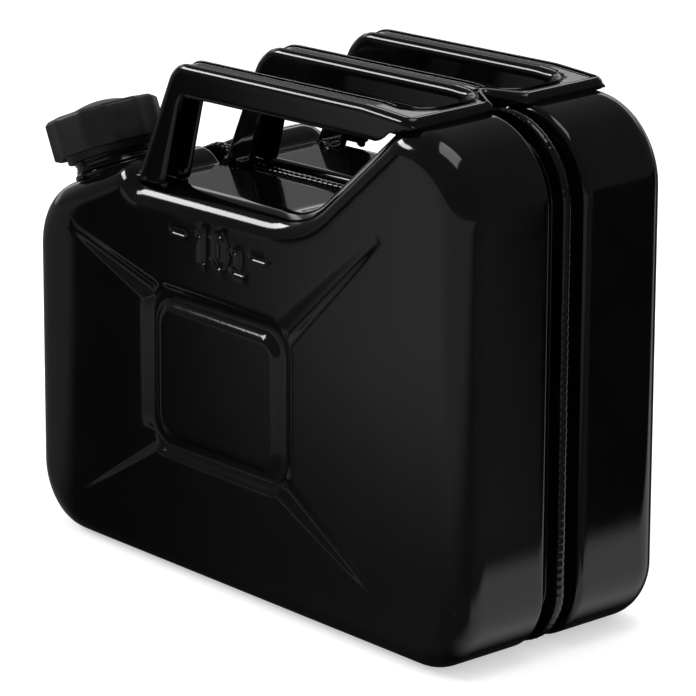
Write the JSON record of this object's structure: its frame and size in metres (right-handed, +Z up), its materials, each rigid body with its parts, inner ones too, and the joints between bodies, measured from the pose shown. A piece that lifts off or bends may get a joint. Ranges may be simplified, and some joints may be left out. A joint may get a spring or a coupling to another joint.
{
  "type": "metal jerry can",
  "caption": "Pressed steel fuel can with a carrying handle of parallel bars, a welded seam in a groove and a screw cap on a tilted neck.",
  "frame": {"origin": "middle of the weld bead under the can, on the surface that the can stands on", "axes": "+X to the rear of the can, away from the neck; +Y from the half that carries the neck to the other half; +Z up"},
  "size_m": [0.3499, 0.142, 0.2844],
  "materials": {
    "can_paint": "gloss black enamel",
    "seam_paint": "gloss black enamel over a weld bead",
    "handle_paint": "gloss black enamel",
    "neck_paint": "gloss black enamel",
    "gasket_rubber": "matt black rubber",
    "cap_plastic": "satin black plastic"
  },
  "bodies": {
    "can": {"near_shell": "can_paint", "far_shell": "can_paint", "seam_weld": "seam_paint", "handle": "handle_paint", "filler_neck": "neck_paint"},
    "seal": {"cap_gasket": "gasket_rubber"},
    "cap": {"cap": "cap_plastic"}
  },
  "joints": [
    {"name": "cap_lift", "type": "slide", "parent": "can", "child": "seal", "axis": [-0.4147, 0, 0.91], "range_m": [0, 0.01]},
    {"name": "cap_turn", "type": "hinge", "parent": "seal", "child": "cap", "pos_m": [-0.13513, -0.0385, 0.19939], "axis": [-0.4147, 0, 0.91], "range_deg": [0, 900]}
  ],
  "couplings": [
    {"joint": "cap_lift", "follows": "cap_turn", "m_per_rad": 0.00063662}
  ]
}
